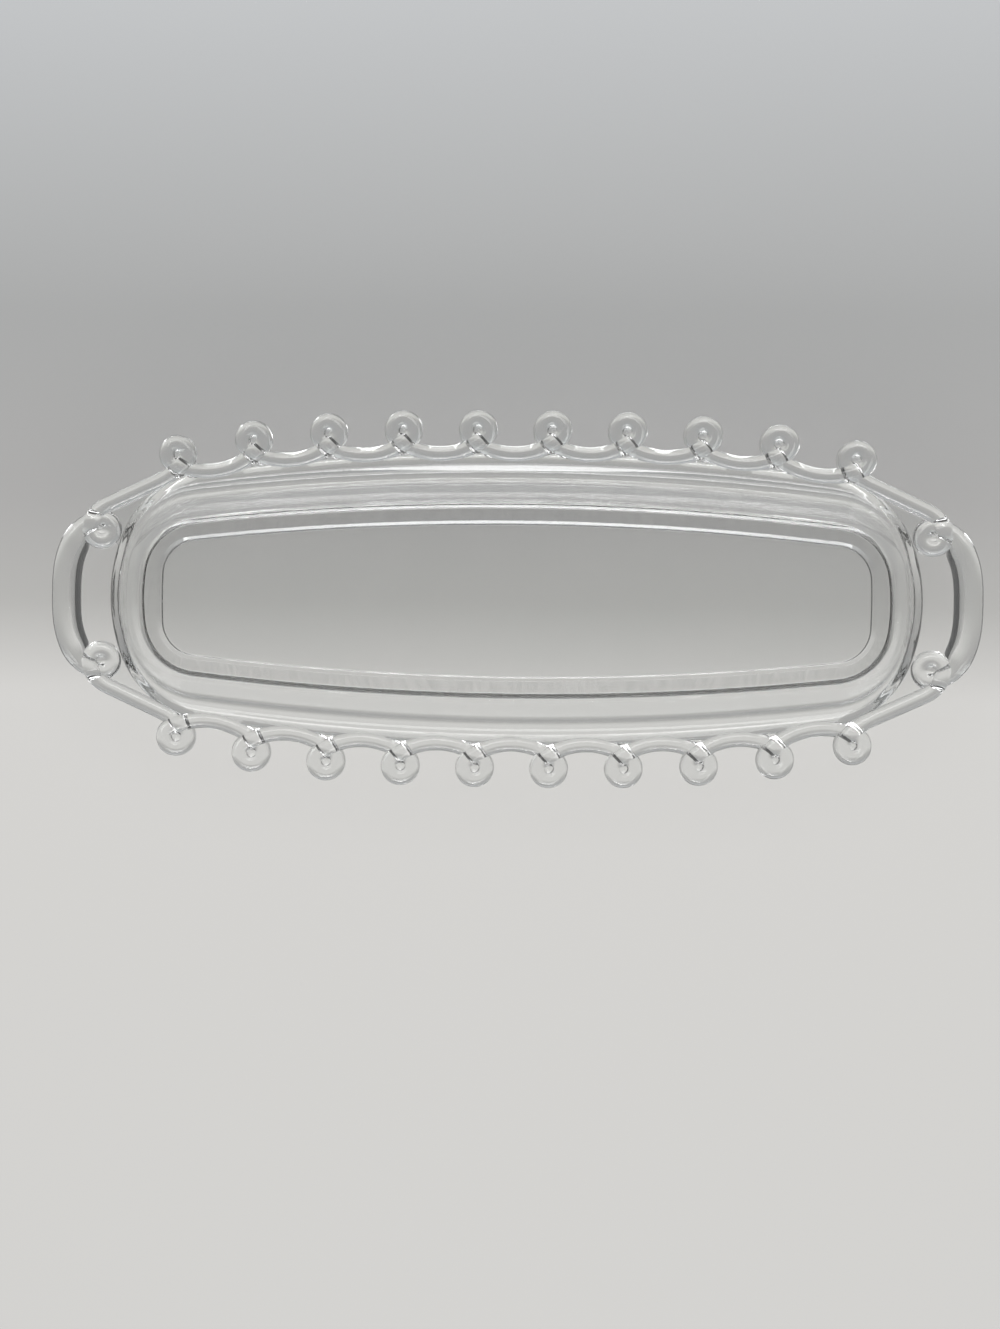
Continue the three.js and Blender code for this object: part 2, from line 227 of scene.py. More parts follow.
is_rod = ~is_handle & (at_corner | np.roll(at_corner, -1))
span_inset = np.select([is_handle, is_rod], [0, ROD_INSET], SPAN_INSET)[:, None]
once_round = np.where(loop_number == LOOPS - 1, oval_length[-1], 0)
leave_length = crossing_length + STRAND_REACH
arrive_length = np.roll(crossing_length, -1) + once_round - STRAND_REACH
span_length = arrive_length - leave_length
leave_point, leave_travel, leave_outward = rope_line(leave_length)
arrive_point, arrive_travel, arrive_outward = rope_line(arrive_length)
leave_point = leave_point - span_inset * leave_outward
arrive_point = arrive_point - span_inset * arrive_outward
print("spans:", np.round(span_length, 1)[:3], "mm and so on")

# %% Directions at the ends of the spans
SPAN_SAG = 0.4

straight = arrive_point - leave_point
span_reach = np.linalg.norm(straight, axis=1, keepdims=True)
straight /= span_reach
inward = np.stack([-straight[:, 1], straight[:, 0]], -1)
span_sag = np.where(is_handle | is_rod, 0, SPAN_SAG)[:, None]
tilt = np.arctan(4 * span_sag / span_reach)  # slope at the ends of the parabola that a span hangs in
onward, aside = np.cos(tilt) * straight, np.sin(tilt) * inward
leave_travel = np.where(is_handle[:, None], leave_travel, onward + aside)
arrive_travel = np.where(is_handle[:, None], arrive_travel, onward - aside)
print("spans hang up to", np.degrees(tilt.max()).round(1), "degrees aslant at their ends")

# %% Turns
TURN_RADIUS = 3.85
JOIN_ANGLE = np.radians(54)  # where the strands meet the circle, below its level
TURN_RINGS = 32

cross_point, cross_travel, cross_outward = rope_line(crossing_length)
turn_axis = cross_outward * turn_side[:, None]
turn_centre = cross_point + turn_axis * turn_offset[:, None]
turn_angle = np.linspace(-JOIN_ANGLE, np.pi + JOIN_ANGLE, TURN_RINGS + 2)[1:-1]


def in_turn(angle):
    """Points on the circles at these angles from the direction of travel: centre + r (cos, sin)."""
    cos, sin = np.cos(angle)[None, :, None], np.sin(angle)[None, :, None]
    return turn_centre[:, None] + TURN_RADIUS * (cos * cross_travel[:, None] + sin * turn_axis[:, None])


turns = in_turn(turn_angle)
print("turns:", turns.shape[1], "rings each, on a radius of", TURN_RADIUS, "mm")

# %% Strands
STRAND_LEAD, STRAND_PULL = 5.4, 3.6  # lengths of the two Bezier handles
STRAND_RINGS = 14


def strand(direction, start, start_travel):
    """Bezier curves from a span to the circle, on the arriving (-1) or leaving (+1) side.
    Each is the sum of four corners, weighed by (1-s)^3, 3s(1-s)^2, 3s^2(1-s) and s^3."""
    share = np.linspace(0, 1, STRAND_RINGS)[None, :, None]
    heading = np.cos(JOIN_ANGLE) * turn_axis - direction * np.sin(JOIN_ANGLE) * cross_travel
    join_angle = -JOIN_ANGLE if direction < 0 else np.pi + JOIN_ANGLE
    end = in_turn(np.array([join_angle]))[:, 0]
    lead = start - direction * STRAND_LEAD * start_travel
    pull = end - STRAND_PULL * heading
    corners = [point[:, None] for point in (start, lead, pull, end)]
    weights = [(1 - share) ** 3, 3 * share * (1 - share) ** 2, 3 * share**2 * (1 - share), share**3]
    return sum(weight * corner for weight, corner in zip(weights, corners))


arriving_strand = strand(-1, np.roll(arrive_point, 1, axis=0), np.roll(arrive_travel, 1, axis=0))
leaving_strand = strand(1, leave_point, leave_travel)[:, ::-1]
print("strands:", STRAND_RINGS, "rings each")

# %% Loop paths
STRAND_LIFT, STRAND_SINK = 0.9, 1.1  # how far the upper strand climbs and the lower one sinks
CLIMB_PACE = 1.5  # a strand has climbed after two thirds of its way


def smooth(share):
    """The smooth step 3 s^2 - 2 s^3, level at both ends."""
    share = np.clip(share, 0, 1)
    return share * share * (3 - 2 * share)


climb = smooth(np.linspace(0, CLIMB_PACE, STRAND_RINGS))
sink = np.cos(np.linspace(0, np.pi, TURN_RINGS + 2))[1:-1]
loop_rise = arriving_lift[:, None] * np.concatenate([climb, sink, -climb[::-1]])
loop_rise = np.where(loop_rise > 0, STRAND_LIFT, STRAND_SINK) * loop_rise
loop_plan = np.concatenate([arriving_strand, turns, leaving_strand], axis=1)
loop_path = np.concatenate([loop_plan, ROPE_HEIGHT + loop_rise[..., None]], axis=-1)
LOOP_RINGS = loop_path.shape[1]
print("loop paths:", LOOP_RINGS, "rings each, from", loop_rise.min(), "to", loop_rise.max(), "mm")

# %% [markdown]
# ## The whole rope
# Put behind each other, loops and spans are one closed path. A curve object with a round bevel could
# follow it, but this rope changes its section, so a ring of points square to the path at every step
# makes the tube. In the loops the ring is slightly thicker. In the two long spans at the ends it
# swells, and its inner side flattens into a face that a finger can hold. That face leans back, most
# of all in the middle of the handle, and is seen from above as a band.

# %% Rope path
SPAN_RINGS = 24

span_share = np.linspace(0, 1, SPAN_RINGS + 2)[1:-1]
bowed_plan, _, _ = rope_line(leave_length[:, None] + span_share * span_length[:, None])
along_span = span_share[None, :, None]
hung_plan = (1 - along_span) * leave_point[:, None] + along_span * arrive_point[:, None]
hung_plan = hung_plan + 4 * along_span * (1 - along_span) * (span_sag * inward)[:, None]
span_plan = np.where(is_handle[:, None, None], bowed_plan, hung_plan)
span_height = np.full(span_plan.shape[:2] + (1,), ROPE_HEIGHT)
span_path = np.concatenate([span_plan, span_height], axis=-1)
rope_path = np.concatenate([loop_path, span_path], axis=1)
RINGS_PER_LOOP = rope_path.shape[1]
rope_path = rope_path.reshape(-1, 3)
print("rope path:", len(rope_path), "rings")

# %% Thickness along the rope
ROPE_RADIUS = 2.9
LOOP_SWELL = 0.2  # the rope is this much thicker in the loops
HANDLE_TAPER = 9.0  # the handles swell over this width from the corners on

ring = np.arange(RINGS_PER_LOOP)
turning = np.minimum(ring, LOOP_RINGS - 1 - ring) / STRAND_RINGS
rope_radius = np.tile(ROPE_RADIUS + LOOP_SWELL * smooth(turning), LOOPS)[:, None]
before_handle = is_handle[:, None] & (ring >= STRAND_RINGS + TURN_RINGS)
after_handle = np.roll(is_handle, 1)[:, None] & (ring < STRAND_RINGS)
near_handle = (before_handle | after_handle).reshape(-1)
swell = near_handle * smooth((CORNER_Y - np.abs(rope_path[:, 1])) / HANDLE_TAPER)
swell = swell[:, None]
print("rope radius:", rope_radius.min(), "to", rope_radius.max().round(2), "mm")

# %% Rope surface
ROPE_SIDES = 30
HANDLE_OUTER, HANDLE_INNER, HANDLE_THICKNESS = 3.8, 6.0, 6.6
HANDLE_FLATNESS = 0.04  # a power of the cosine: the smaller, the flatter
HANDLE_LEAN = 2.6  # the top of the inner face lies this far back in the middle of a handle


def rope_rings(path):
    """A ring round every point of a closed path: point + out * side direction + up * upward direction.
    Out and up are a circle of the rope's radius, mixed by the swell with the handle's section: half
    an ellipse outside and, inside, a face kept flat by a small power of the cosine. Its distance from
    the path falls evenly from bottom to top by the lean, which is full at y = 0 and shrinks with the
    square of y towards the corners."""
    steps = np.roll(path, -1, axis=0) - path
    steps /= np.linalg.norm(steps, axis=1, keepdims=True)
    ahead = steps + np.roll(steps, 1, axis=0)
    ahead /= np.linalg.norm(ahead, axis=1, keepdims=True)
    sideways = np.stack([ahead[:, 1], -ahead[:, 0], np.zeros(len(path))], -1)
    sideways /= np.linalg.norm(sideways, axis=1, keepdims=True)
    upward = np.cross(sideways, ahead)
    angle = np.linspace(0, 2 * np.pi, ROPE_SIDES, endpoint=False)
    across, high = np.cos(angle), np.sin(angle)
    lean = HANDLE_LEAN * (1 - (path[:, 1:2] / CORNER_Y) ** 2)
    inner = HANDLE_INNER - lean * (1 + high) / 2
    full = np.where(across > 0, HANDLE_OUTER * across, -inner * np.abs(across) ** HANDLE_FLATNESS)
    out = (1 - swell) * rope_radius * across + swell * full
    up = ((1 - swell) * rope_radius + swell * HANDLE_THICKNESS / 2) * high
    return path[:, None] + out[..., None] * sideways[:, None] + up[..., None] * upward[:, None]


rope_points = rope_rings(rope_path)
print("rope surface:", rope_points.shape[0] * ROPE_SIDES, "points")

# %% [markdown]
# ## Joining the strands where they cross
# Where the rope lies on itself the two strands are one body of glass. Left as they are, light would
# meet the buried surface of the lower strand and bend a second time. A remesh would join them but
# blur the crease between them. So the crossing strands are cut out as short closed rods, the two
# sets are joined by a union, their end discs are taken off again, and the rest of the tube is welded
# back on, ring to ring.

# %% Rings that cross
PLAIN, UPPER, LOWER = 0, 1, 2
CUT_ANGLE = np.radians(62)  # the crossing strands are cut off this far round the circle

first_cut = STRAND_RINGS + np.searchsorted(turn_angle, CUT_ANGLE)
last_cut = STRAND_RINGS + np.searchsorted(turn_angle, np.pi - CUT_ANGLE)
arriving = ring < first_cut
leaving = (ring >= last_cut) & (ring < LOOP_RINGS - 1)
over = arriving_lift[:, None] > 0
cases = [arriving & over, arriving, leaving & over, leaving]
ring_set = np.select(cases, [UPPER, LOWER, LOWER, UPPER], PLAIN).reshape(-1)
print("rings that cross:", (ring_set == UPPER).sum(), "above and", (ring_set == LOWER).sum(), "below")

# %% Closed rods
DISC_SLOT = 1  # marks the end discs

rope_faces = grid_faces(len(rope_path), ROPE_SIDES, round_rows=True, round_columns=True)
face_set = np.repeat(ring_set, ROPE_SIDES)
ring_points = np.arange(len(rope_path) * ROPE_SIDES).reshape(-1, ROPE_SIDES)


def rods(name, which):
    """The closed rods of one set: their share of the tube, and a marked disc at each end of a run."""
    begins_or_ends = (ring_set == which) != (np.roll(ring_set, 1) == which)
    faces = rope_faces[face_set == which].tolist()
    discs = ring_points[begins_or_ends].tolist()
    piece = new_piece(name, rope_points, faces + discs)
    corners = np.empty(len(piece.data.polygons), int)
    piece.data.polygons.foreach_get("loop_total", corners)
    piece.data.polygons.foreach_set("material_index", np.where(corners == ROPE_SIDES, DISC_SLOT, 0))
    return piece


upper_rods = rods("crossings", UPPER)
lower_rods = rods("lower_rods", LOWER)
print("rods:", open_edges(upper_rods), "open edges above,", open_edges(lower_rods), "below")

# %% Union of the crossings
def united(piece, other):
    """The union of two closed pieces, which takes the place of the first."""
    modifier = piece.modifiers.new("union", "BOOLEAN")
    modifier.operation, modifier.solver, modifier.object = "UNION", "MANIFOLD", other
    graph = bpy.context.evaluated_depsgraph_get()
    joined = bpy.data.meshes.new_from_object(piece.evaluated_get(graph))
    piece.modifiers.clear()
    piece.data = joined
    bpy.data.objects.remove(other)
    return piece


crossings = united(upper_rods, lower_rods)
print("crossings:", len(crossings.data.polygons), "faces")

# %% Rope in one piece
def welded(piece, other):
    """Both pieces as one mesh, without marked discs and with matching rings merged."""
    work = bmesh.new()
    work.from_mesh(piece.data)
    work.from_mesh(other.data)
    discs = [face for face in work.faces if face.material_index == DISC_SLOT]
    bmesh.ops.delete(work, geom=discs, context="FACES")
    work.to_mesh(piece.data)
    work.free()
    bpy.data.objects.remove(other)
    merge_doubles(piece)
    return piece


spans = new_piece("rope", rope_points, rope_faces[face_set == PLAIN].tolist())
rope = welded(spans, crossings)
print("rope:", len(rope.data.polygons), "faces,", open_edges(rope), "open edges")

# %% [markdown]
# ## The dish
# The dish could be a block with a hollow cut into it, but then each edge would want a bevel of its
# own. Here it is a skin of closed outlines, one above the other: across the underside, round the
# foot, up the outside, over the rim, down the inside and over the floor. Each outline has a long
# side arc, a small corner arc and an end arc on every quarter. Pressed glass has no knife edges, so
# the list of outlines is written with sharp bends, and every bend is then rounded by a small curve.
# The border round the floor has a narrow slanted edge on either side, which catches the light.

# %% Outlines of the dish
RIM = np.array([140.4, 48.2, 829, 57, 32])  # half length, half width, side arc, end arc, corner arc
HEEL = np.array([138.8, 35.7, 1050, 75, 22])
FLOOR = np.array([130.9, 28.3, 1043.8, 225, 13])
ARC_STEPS = {"end": 14, "corner": 20, "side": 40}


def arc(x, y, radius, start, stop, steps):
    """Points at even angles from start up to stop, without it: (x, y) + radius (cos, sin)."""
    angle = start + (stop - start) * np.arange(steps) / steps
    return np.stack([x + radius * np.cos(angle), y + radius * np.sin(angle)], -1)


def outline_points(sizes):
    """Points round each outline, counter-clockwise from the middle of the right-hand end.
    The corner arc touches the other two from within, so its centre is (side arc - corner arc) from the
    side arc's centre and (end arc - corner arc) from the end arc's: the apex of a known triangle."""
    length, width, side, end, corner = np.moveaxis(np.asarray(sizes, float), -1, 0)[..., None]
    end_x, side_y = length - end, width - side
    apart = np.hypot(end_x, side_y)
    near_side, near_end = side - corner, end - corner
    swing = np.arccos((near_side**2 + apart**2 - near_end**2) / (2 * near_side * apart))
    side_angle = np.arctan2(-side_y, end_x) - swing
    corner_x, corner_y = near_side * np.cos(side_angle), side_y + near_side * np.sin(side_angle)
    end_angle = np.arctan2(corner_y, corner_x - end_x)
    level = np.zeros_like(end_x)
    quarter = np.concatenate([
        arc(end_x, level, end, level, end_angle, ARC_STEPS["end"]),
        arc(corner_x, corner_y, corner, end_angle, side_angle, ARC_STEPS["corner"]),
        arc(level, side_y, side, side_angle, np.pi / 2 + level, ARC_STEPS["side"]),
        np.stack([level, width], -1),
    ], axis=-2)
    half = np.concatenate([quarter, quarter[..., -2::-1, :] * [-1, 1]], axis=-2)
    return np.concatenate([half, half[..., -2:0:-1, :] * [1, -1]], axis=-2)


print("outline:", outline_points(RIM).shape[-2], "points round")

# %% Section of the dish
UNDERSIDE, PANEL, LEDGE, HEEL_TOP, BEND, RIM_TOP = 1.9, 5.1, 6.1, 7.48, 9.1, 24.9
HALF_WALL_Z = 19.6  # above the straight line from bend to rim, so the wall flares at the top
WALL, RIM_WIDTH, RIM_THICKNESS = 3.8, 3.5, 3.0
FOOT_DRAFT = 0.5  # the foot narrows by this much on each side
OUTER_EDGE, INNER_EDGE = 1.8, 1.25  # widths of the border's slanted edges
MIDDLE_START = 1  # the flat middle begins this far inside the floor's outline

half_wall = (HEEL + RIM) / 2
section = [  # outline, height, rounding of the bend there
    (FLOOR - MIDDLE_START, UNDERSIDE, 0),
    (FLOOR, UNDERSIDE, 0.5),
    (FLOOR + FOOT_DRAFT, 0, 0.4),
    (HEEL - FOOT_DRAFT, 0, 0.5),
    (HEEL, UNDERSIDE, 1.0),
    (HEEL + WALL, BEND, 2.5),
    (half_wall + WALL, HALF_WALL_Z, 3.0),
    (RIM + RIM_WIDTH, RIM_TOP - RIM_THICKNESS, 1.4),
    (RIM + RIM_WIDTH, RIM_TOP, 1.4),
    (RIM, RIM_TOP, 1.3),
    (half_wall, HALF_WALL_Z, 2.0),
    (HEEL, HEEL_TOP, 0.6),
    (HEEL - OUTER_EDGE, LEDGE, 0.5),
    (FLOOR + INNER_EDGE, LEDGE, 0.25),
    (FLOOR, PANEL, 0.25),
    (FLOOR - MIDDLE_START, PANEL, 0),
]
print("section:", len(section), "outlines")

# %% Rounded bends
WIDTH_COLUMN, HEIGHT_COLUMN = 1, 5
LONGEST_ROUNDING = 0.45  # share of the way to the next row
BEND_STEPS = 6


def rounded(rows, rounding):
    """A chain of rows with its bends rounded: near each row the chain follows the parabola
    (1-t)^2 before + 2t(1-t) row + t^2 after, where before and after lie a rounding away from it."""
    rows = np.asarray(rows, float)
    gaps = np.linalg.norm(np.diff(rows[:, [WIDTH_COLUMN, HEIGHT_COLUMN]], axis=0), axis=1)
    row, radius = rows[1:-1], np.asarray(rounding)[1:-1]
    back = np.minimum(radius / gaps[:-1], LONGEST_ROUNDING)[:, None]
    ahead = np.minimum(radius / gaps[1:], LONGEST_ROUNDING)[:, None]
    before = row + (rows[:-2] - row) * back
    after = row + (rows[2:] - row) * ahead
    t = np.linspace(0, 1, BEND_STEPS)[None, :, None]
    bends = (1 - t) ** 2 * before[:, None] + 2 * t * (1 - t) * row[:, None] + t**2 * after[:, None]
    return np.concatenate([rows[:1], bends.reshape(-1, rows.shape[1]), rows[-1:]])


levels = rounded([[*outline, z] for outline, z, _ in section], [bend for *_, bend in section])
print("rounded section:", len(levels), "outlines")

# %% Skin of the dish
MIDDLE_SHARES = np.array([0, 0.25, 0.5, 0.75, 0.9])  # rings of the flat middles, from the centre out

plan = outline_points(levels[:, :HEIGHT_COLUMN])
heights = np.broadcast_to(levels[:, HEIGHT_COLUMN:, None], plan.shape[:2] + (1,))
rings = np.concatenate([plan, heights], axis=-1)
shrink = np.stack([MIDDLE_SHARES, MIDDLE_SHARES, np.ones_like(MIDDLE_SHARES)], -1)[:, None]
dish_points = np.concatenate([rings[:1] * shrink, rings, rings[-1:] * shrink[::-1]])
dish_faces = grid_faces(*dish_points.shape[:2], round_columns=True)
tray = new_piece("tray", dish_points, dish_faces.tolist())
print("dish:", len(tray.data.polygons), "faces,", open_edges(tray), "open edges")

# %% [markdown]
# ## The flange at the edge
# Between the rim and the rope the glass runs on as a narrow flange, thinner than the rim, which meets
# the rope at half its height and widens at each corner. It could be drawn out from the rim, but the
# rope line and the rim don't run side by side. So it is a flat strip between two curves, the middle
# of the rim and the rope line, with both of its edges buried in thicker glass. One quarter is worked
# out and mirrored.

# %% Edges of the flange
FLANGE_ROWS = 80
FLANGE_END = 0.5  # its ends run into the corner loops, this far along from their centres

rim_quarter = outline_points(RIM + RIM_WIDTH / 2)[: sum(ARC_STEPS.values()) + 1]
rim_number = np.arange(len(rim_quarter))
ahead_of_corner = (rim_quarter - turn_centre[0]) @ cross_travel[0]
row_share = np.linspace(0, 1, FLANGE_ROWS)
rim_start = np.interp(FLANGE_END, ahead_of_corner, rim_number)
rim_steps = rim_start + row_share * (rim_number[-1] - rim_start)
inner_edge = np.stack([np.interp(rim_steps, rim_number, axis) for axis in rim_quarter.T], -1)
rope_start = crossing_length[0] + FLANGE_END
outer_edge, _, _ = rope_line(rope_start + row_share * (oval_length[-1] / 4 - rope_start))
print("flange:", np.linalg.norm(outer_edge - inner_edge, axis=1).max().round(1), "mm wide at most")

# %% Flange strips
FLANGE_ABOVE, FLANGE_BELOW = 0.9, 1.1  # half thicknesses over and under the rope's middle

flange_top, flange_bottom = ROPE_HEIGHT + FLANGE_ABOVE, ROPE_HEIGHT - FLANGE_BELOW
strip = np.stack([inner_edge, inner_edge, outer_edge, outer_edge], axis=1)
strip = np.concatenate([strip, strip[-2::-1] * [-1, 1]])
strip_heights = np.array([flange_top, flange_bottom, flange_bottom, flange_top])[:, None]
strip = np.concatenate([strip, np.broadcast_to(strip_heights, strip.shape[:2] + (1,))], axis=-1)
STRIP_ROWS, STRIP_SIDES, _ = strip.shape
first_end = np.arange(STRIP_SIDES)
last_end = first_end + (STRIP_ROWS - 1) * STRIP_SIDES
strip_skin = grid_faces(STRIP_ROWS, STRIP_SIDES, round_columns=True)
strip_faces = np.concatenate([strip_skin, [first_end, last_end]])
both_strips = np.stack([strip, strip * [1, -1, 1]])
both_faces = np.concatenate([strip_faces, strip_faces + STRIP_ROWS * STRIP_SIDES])
flanges = new_piece("flanges", both_strips, both_faces.tolist())
print("flanges:", open_edges(flanges), "open edges")

# %% [markdown]
# ## The dimple in each loop
# The loops aren't pierced: a lens of glass closes the eye of each turn and leaves a dimple on both
# faces. A sphere pressed flat would close it too, but it would stand in the eye as a small dome with
# a trench round it. This lens is hollow instead, thicker towards its edge, and its edge climbs with
# the rope, so that it runs on into the glass around it. All lenses are drawn at once.

# %% Lenses in the loops
LENS_RADIUS, LENS_HALF = 2.5, 2.1
LENS_HOLLOW = 0.1  # half thickness gained per square millimetre of radius
LENS_ROWS, LENS_SIDES = 8, 36


def lens_points():
    """Points of every lens by radius r, top face then bottom, and angle: centre + r (cos, sin).
    The height is the rope's, plus or minus (half + hollow r^2), plus r/R of the rope's rise there."""
    radius = LENS_RADIUS * np.linspace(0, 1, LENS_ROWS)
    half = LENS_HALF + LENS_HOLLOW * radius**2
    radius, half = np.concatenate([[radius, half], [radius[::-1], -half[::-1]]], axis=1)[..., None]
    angle = np.linspace(0, 2 * np.pi, LENS_SIDES, endpoint=False)
    along, across = (radius * np.cos(angle))[..., None], (radius * np.sin(angle))[..., None]
    offset = along * cross_travel[:, None, None] + across * turn_axis[:, None, None]
    turn_rise = loop_rise[:, STRAND_RINGS:-STRAND_RINGS]
    rise = np.stack([np.interp(angle, turn_angle, one, period=2 * np.pi) for one in turn_rise])
    height = ROPE_HEIGHT + half + radius / LENS_RADIUS * rise[:, None]
    return np.concatenate([turn_centre[:, None, None] + offset, height[..., None]], axis=-1)


one_lens = grid_faces(2 * LENS_ROWS, LENS_SIDES, round_columns=True)
lens_start = loop_number * 2 * LENS_ROWS * LENS_SIDES
lens_faces = one_lens + lens_start[:, None, None]
lenses = new_piece("lenses", lens_points(), lens_faces.reshape(-1, 4).tolist())
print("lenses:", LOOPS, "with", open_edges(lenses), "open edges")

# %% [markdown]
# ## One body of glass
# Dish, flanges, rope and lenses could stay closed pieces that reach into each other, but light would
# bend at every buried face. So they become one skin. Smooth shading alone would smear light over the
# creases where the rope lies on itself, so edges that bend sharply are marked sharp.

# %% The tray
SHARP_BEND = np.radians(38)

for piece in (flanges, rope, lenses):
    united(tray, piece)
merge_doubles(tray)
tray.data.polygons.foreach_set("use_smooth", np.ones(len(tray.data.polygons), bool))
tray.data.set_sharp_from_angle(angle=SHARP_BEND)
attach(tray, "root")
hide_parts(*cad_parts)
tray.data.calc_loop_triangles()
print("tray:", len(tray.data.loop_triangles), "triangles,", open_edges(tray), "open edges")

# %% [markdown]
# ## Writing shaders as sums
# A shader is a net of small nodes, and much of it is arithmetic. It could be joined up by hand in
# the node editor, but then it can't be read as text. A class that wraps an output and answers to +,
# - and * lets the arithmetic be written as Python, and one method makes every other node from its
# type, its settings and what goes into its sockets.

# %% Wires
class Wire:
    """An output socket. Sums and products with numbers or other wires, and 1 - wire, add Math nodes."""

    def __init__(self, bench, socket):
        self.bench, self.socket = bench, socket

    def maths(self, operation, first, second):
        """A Math node on two values, each a number or a wire."""
        return self.bench.node("ShaderNodeMath", {"operation": operation}, {0: first, 1: second})

    def __add__(self, other):
        return self.maths("ADD", self, other)

    def __mul__(self, other):
        return self.maths("MULTIPLY", self, other)

    def __rsub__(self, other):
        return self.maths("SUBTRACT", other, self)

    __radd__, __rmul__ = __add__, __mul__


print("wires answer to a + b, a * b and 1 - a")

# %% Benches
class Bench:
    """A node tree that starts empty, and the tools that fill it."""

    def __init__(self, owner):
        owner.use_nodes = True
        self.tree = owner.node_tree
        self.tree.nodes.clear()

    def node(self, kind, settings=None, inputs=None, output=0):
        """A node of any kind, its settings set first and then its sockets. Gives one output's wire."""
        node = self.tree.nodes.new(kind)
        for name, value in (settings or {}).items():
            if name == "stops":
                self.set_stops(node.color_ramp, value)
            else:
                setattr(node, name, value)
        for name, value in (inputs or {}).items():
            if isinstance(value, Wire):
                self.tree.links.new(value.socket, node.inputs[name])
            else:
                node.inputs[name].default_value = value
        return Wire(self, node.outputs[output]) if len(node.outputs) else node

    def set_stops(self, ramp, stops):
        """The stops of a ramp, each a place and a colour."""
        while len(ramp.elements) < len(stops):
            ramp.elements.new(1)
        for element, (place, colour) in zip(ramp.elements, stops):
            element.position, element.color = place, (*colour, 1)

    def tones(self, value, stops):
        """A colour for each value, blended between the stops."""
        return self.node("ShaderNodeValToRGB", {"stops": stops}, {"Fac": value})

    def rise(self, value, low, high):
        """A mask: 0 up to low, 1 from high on, and the smooth step 3 s^2 - 2 s^3 between them."""
        sockets = {"Value": value, "From Min": low, "From Max": high}
        return self.node("ShaderNodeMapRange", {"interpolation_type": "SMOOTHSTEP"}, sockets)

    def noise(self, place, scale, detail, roughness=0.5):
        """Soft random values from 0 to 1, with about as many patches to the metre as the scale says."""
        sockets = {"Vector": place, "Scale": scale, "Detail": detail, "Roughness": roughness}
        return self.node("ShaderNodeTexNoise", None, sockets)

    def axis(self, vector, name):
        """One of the three numbers in a vector."""
        return self.node("ShaderNodeSeparateXYZ", None, {"Vector": vector}, output=name)

    def length(self, vector):
        """How long a vector is."""
        return self.node("ShaderNodeVectorMath", {"operation": "LENGTH"}, {0: vector}, output="Value")


glass = bpy.data.materials.new("clear_glass")
bench = Bench(glass)
print("bench:", glass.name, "starts with", len(bench.tree.nodes), "nodes")

# %% [markdown]
# ## Clear glass
# Pressed glass is clear but never perfect. The hot glass chills against the mould, which leaves slow
# ripples, flow lines on the walls and a fine skin like orange peel, and years of use leave a film of
# smears and a scratched band under the foot. A plain glass shader would show none of that, and a
# painted picture of it would need an unwrapped mesh. So all of it is noise on the object's own
# coordinates. Ripples, flow and peel go into a bump, which leaves the fire-polished rope smooth, and
# the film and the scratches go into roughness.

# %% Heights on the glass
FOOT_TOP = 0.4  # the scratched band ends here
WALL_LOW, WALL_HIGH = 9, 13  # flow lines come in between these heights
ROPE_LOW, ROPE_HIGH = 20, 23.5  # and all relief goes out between these

place = bench.node("ShaderNodeTexCoord", output="Object")
height = bench.axis(place, "Z")
off_foot = bench.rise(height, 0.0, FOOT_TOP * MM)
on_wall = bench.rise(height, WALL_LOW * MM, WALL_HIGH * MM)
on_rope = bench.rise(height, ROPE_LOW * MM, ROPE_HIGH * MM)
print("heights:", len(bench.tree.nodes), "nodes")

# %% Relief
DRAWN_OUT = (0.06, 1, 1)  # stretches a pattern along the tray
RIPPLE, FLOW, PEEL = 0.35, 0.2, 0.015
BUMP_STRENGTH, BUMP_DEPTH = 0.25, 0.3

drawn = bench.node("ShaderNodeMapping", None, {"Vector": place, "Scale": DRAWN_OUT})
ripple = bench.noise(drawn, scale=60.0, detail=1.0)
flow = bench.noise(drawn, scale=330.0, detail=2.0)
peel = bench.noise(place, scale=420.0, detail=1.0)
relief = (RIPPLE * ripple + PEEL * peel + FLOW * flow * on_wall) * (1 - on_rope)
bump = bench.node(
    "ShaderNodeBump",
    None,
    {"Strength": BUMP_STRENGTH, "Distance": BUMP_DEPTH * MM, "Height": relief},
)
print("relief:", len(bench.tree.nodes), "nodes")

# %% Film and scratches
FILM_LOW, FILM_HIGH, FILM_ROUGHNESS = 0.5, 0.8, 0.035
SCRATCH_ROUGHNESS = 0.35
FILM_TINTS = [(0.35, (0.985, 0.992, 0.988)), (0.75, (0.965, 0.978, 0.972))]

film = bench.noise(place, scale=30.0, detail=6.0, roughness=0.65)
scratches = bench.noise(place, scale=900.0, detail=3.0)
smears = bench.node(
    "ShaderNodeMapRange",
    None,
    {"Value": film, "From Min": FILM_LOW, "From Max": FILM_HIGH, "To Max": FILM_ROUGHNESS},
)
roughness = smears + (1 - off_foot) * scratches * SCRATCH_ROUGHNESS
tint = bench.tones(film, FILM_TINTS)
print("film and scratches:", len(bench.tree.nodes), "nodes")

# %% Glass material
GLASS_IOR = 1.52

surface = bench.node(
    "ShaderNodeBsdfPrincipled",
    None,
    {
        "Base Color": tint,
        "Roughness": roughness,
        "IOR": GLASS_IOR,
        "Transmission Weight": 1.0,
        "Normal": bump,
    },
)
bench.node("ShaderNodeOutputMaterial", None, {"Surface": surface})
tray.data.materials.clear()
tray.data.materials.append(glass)
print("glass:", len(bench.tree.nodes), "nodes")

